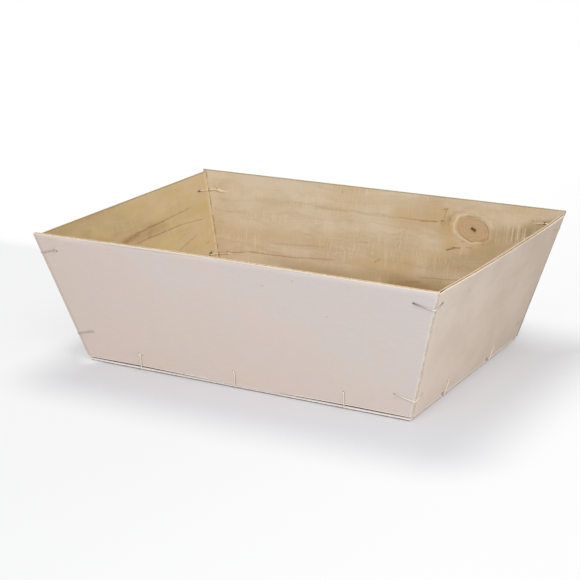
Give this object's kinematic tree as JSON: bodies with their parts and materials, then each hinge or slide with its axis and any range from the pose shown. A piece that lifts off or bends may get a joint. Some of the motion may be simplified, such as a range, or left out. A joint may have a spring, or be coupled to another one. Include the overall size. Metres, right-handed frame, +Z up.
{
  "type": "plywood gift basket",
  "caption": "Open tapered plywood gift basket: flared wall boards on a thin base board, stitched together along every edge with bent wire staples.",
  "frame": {"origin": "middle of the base board's underside, where the basket rests", "axes": "+X along the long front board towards the right end, +Y from the front to the back, +Z up"},
  "size_m": [0.35, 0.251, 0.1088],
  "materials": {
    "side_ply": "unfinished poplar plywood, sanded, pale",
    "end_ply": "unfinished poplar plywood, sanded, pale",
    "base_ply": "unfinished poplar plywood",
    "staple_wire": "drawn galvanised wire, dull"
  },
  "bodies": {
    "root": {"base_panel": "base_ply", "front_panel": "side_ply", "back_panel": "side_ply", "left_panel": "end_ply", "right_panel": "end_ply", "front_left_lower_staple": "staple_wire", "front_left_upper_staple": "staple_wire", "front_right_lower_staple": "staple_wire", "front_right_upper_staple": "staple_wire", "back_right_lower_staple": "staple_wire", "back_right_upper_staple": "staple_wire", "back_left_lower_staple": "staple_wire", "back_left_upper_staple": "staple_wire", "front_base_staple_1": "staple_wire", "front_base_staple_2": "staple_wire", "front_base_staple_3": "staple_wire", "back_base_staple_1": "staple_wire", "back_base_staple_2": "staple_wire", "back_base_staple_3": "staple_wire", "right_base_staple_1": "staple_wire", "right_base_staple_2": "staple_wire", "left_base_staple_1": "staple_wire", "left_base_staple_2": "staple_wire"}
  },
  "joints": []
}
